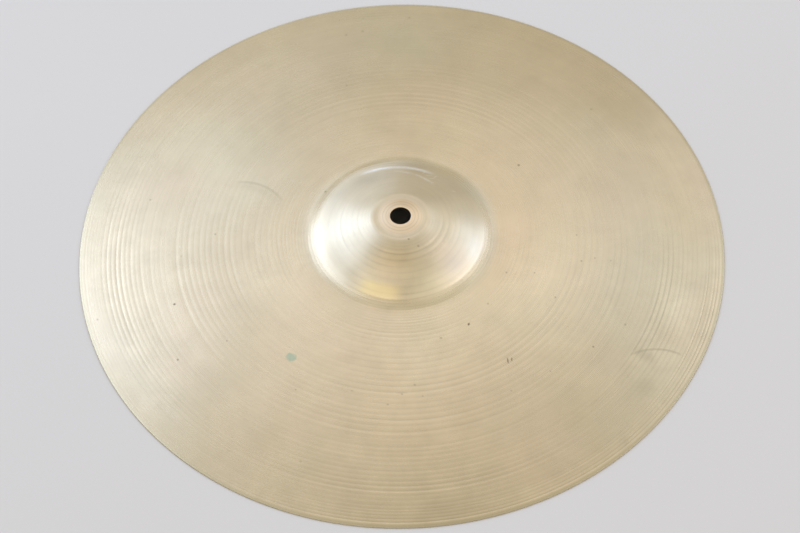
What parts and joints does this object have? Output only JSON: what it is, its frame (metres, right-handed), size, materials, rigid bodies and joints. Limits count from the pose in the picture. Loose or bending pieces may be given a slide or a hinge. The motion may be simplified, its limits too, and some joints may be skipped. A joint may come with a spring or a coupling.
{
  "type": "crash cymbal",
  "caption": "Thin round bronze cymbal with a domed bell, a shallow bow, a lathed skin and a round hole for the stand's rod.",
  "frame": {"origin": "centre of the ring that the rim rests on, on the turning axis", "axes": "+Z along the turning axis, out of the bell's top; +X and +Y lie in the rim's plane"},
  "size_m": [0.4064, 0.4064, 0.0369],
  "materials": {
    "bell_bronze": "satin lathed bell bronze, concentric tool marks, light patina"
  },
  "bodies": {
    "root": {"cymbal": "bell_bronze"}
  },
  "joints": []
}
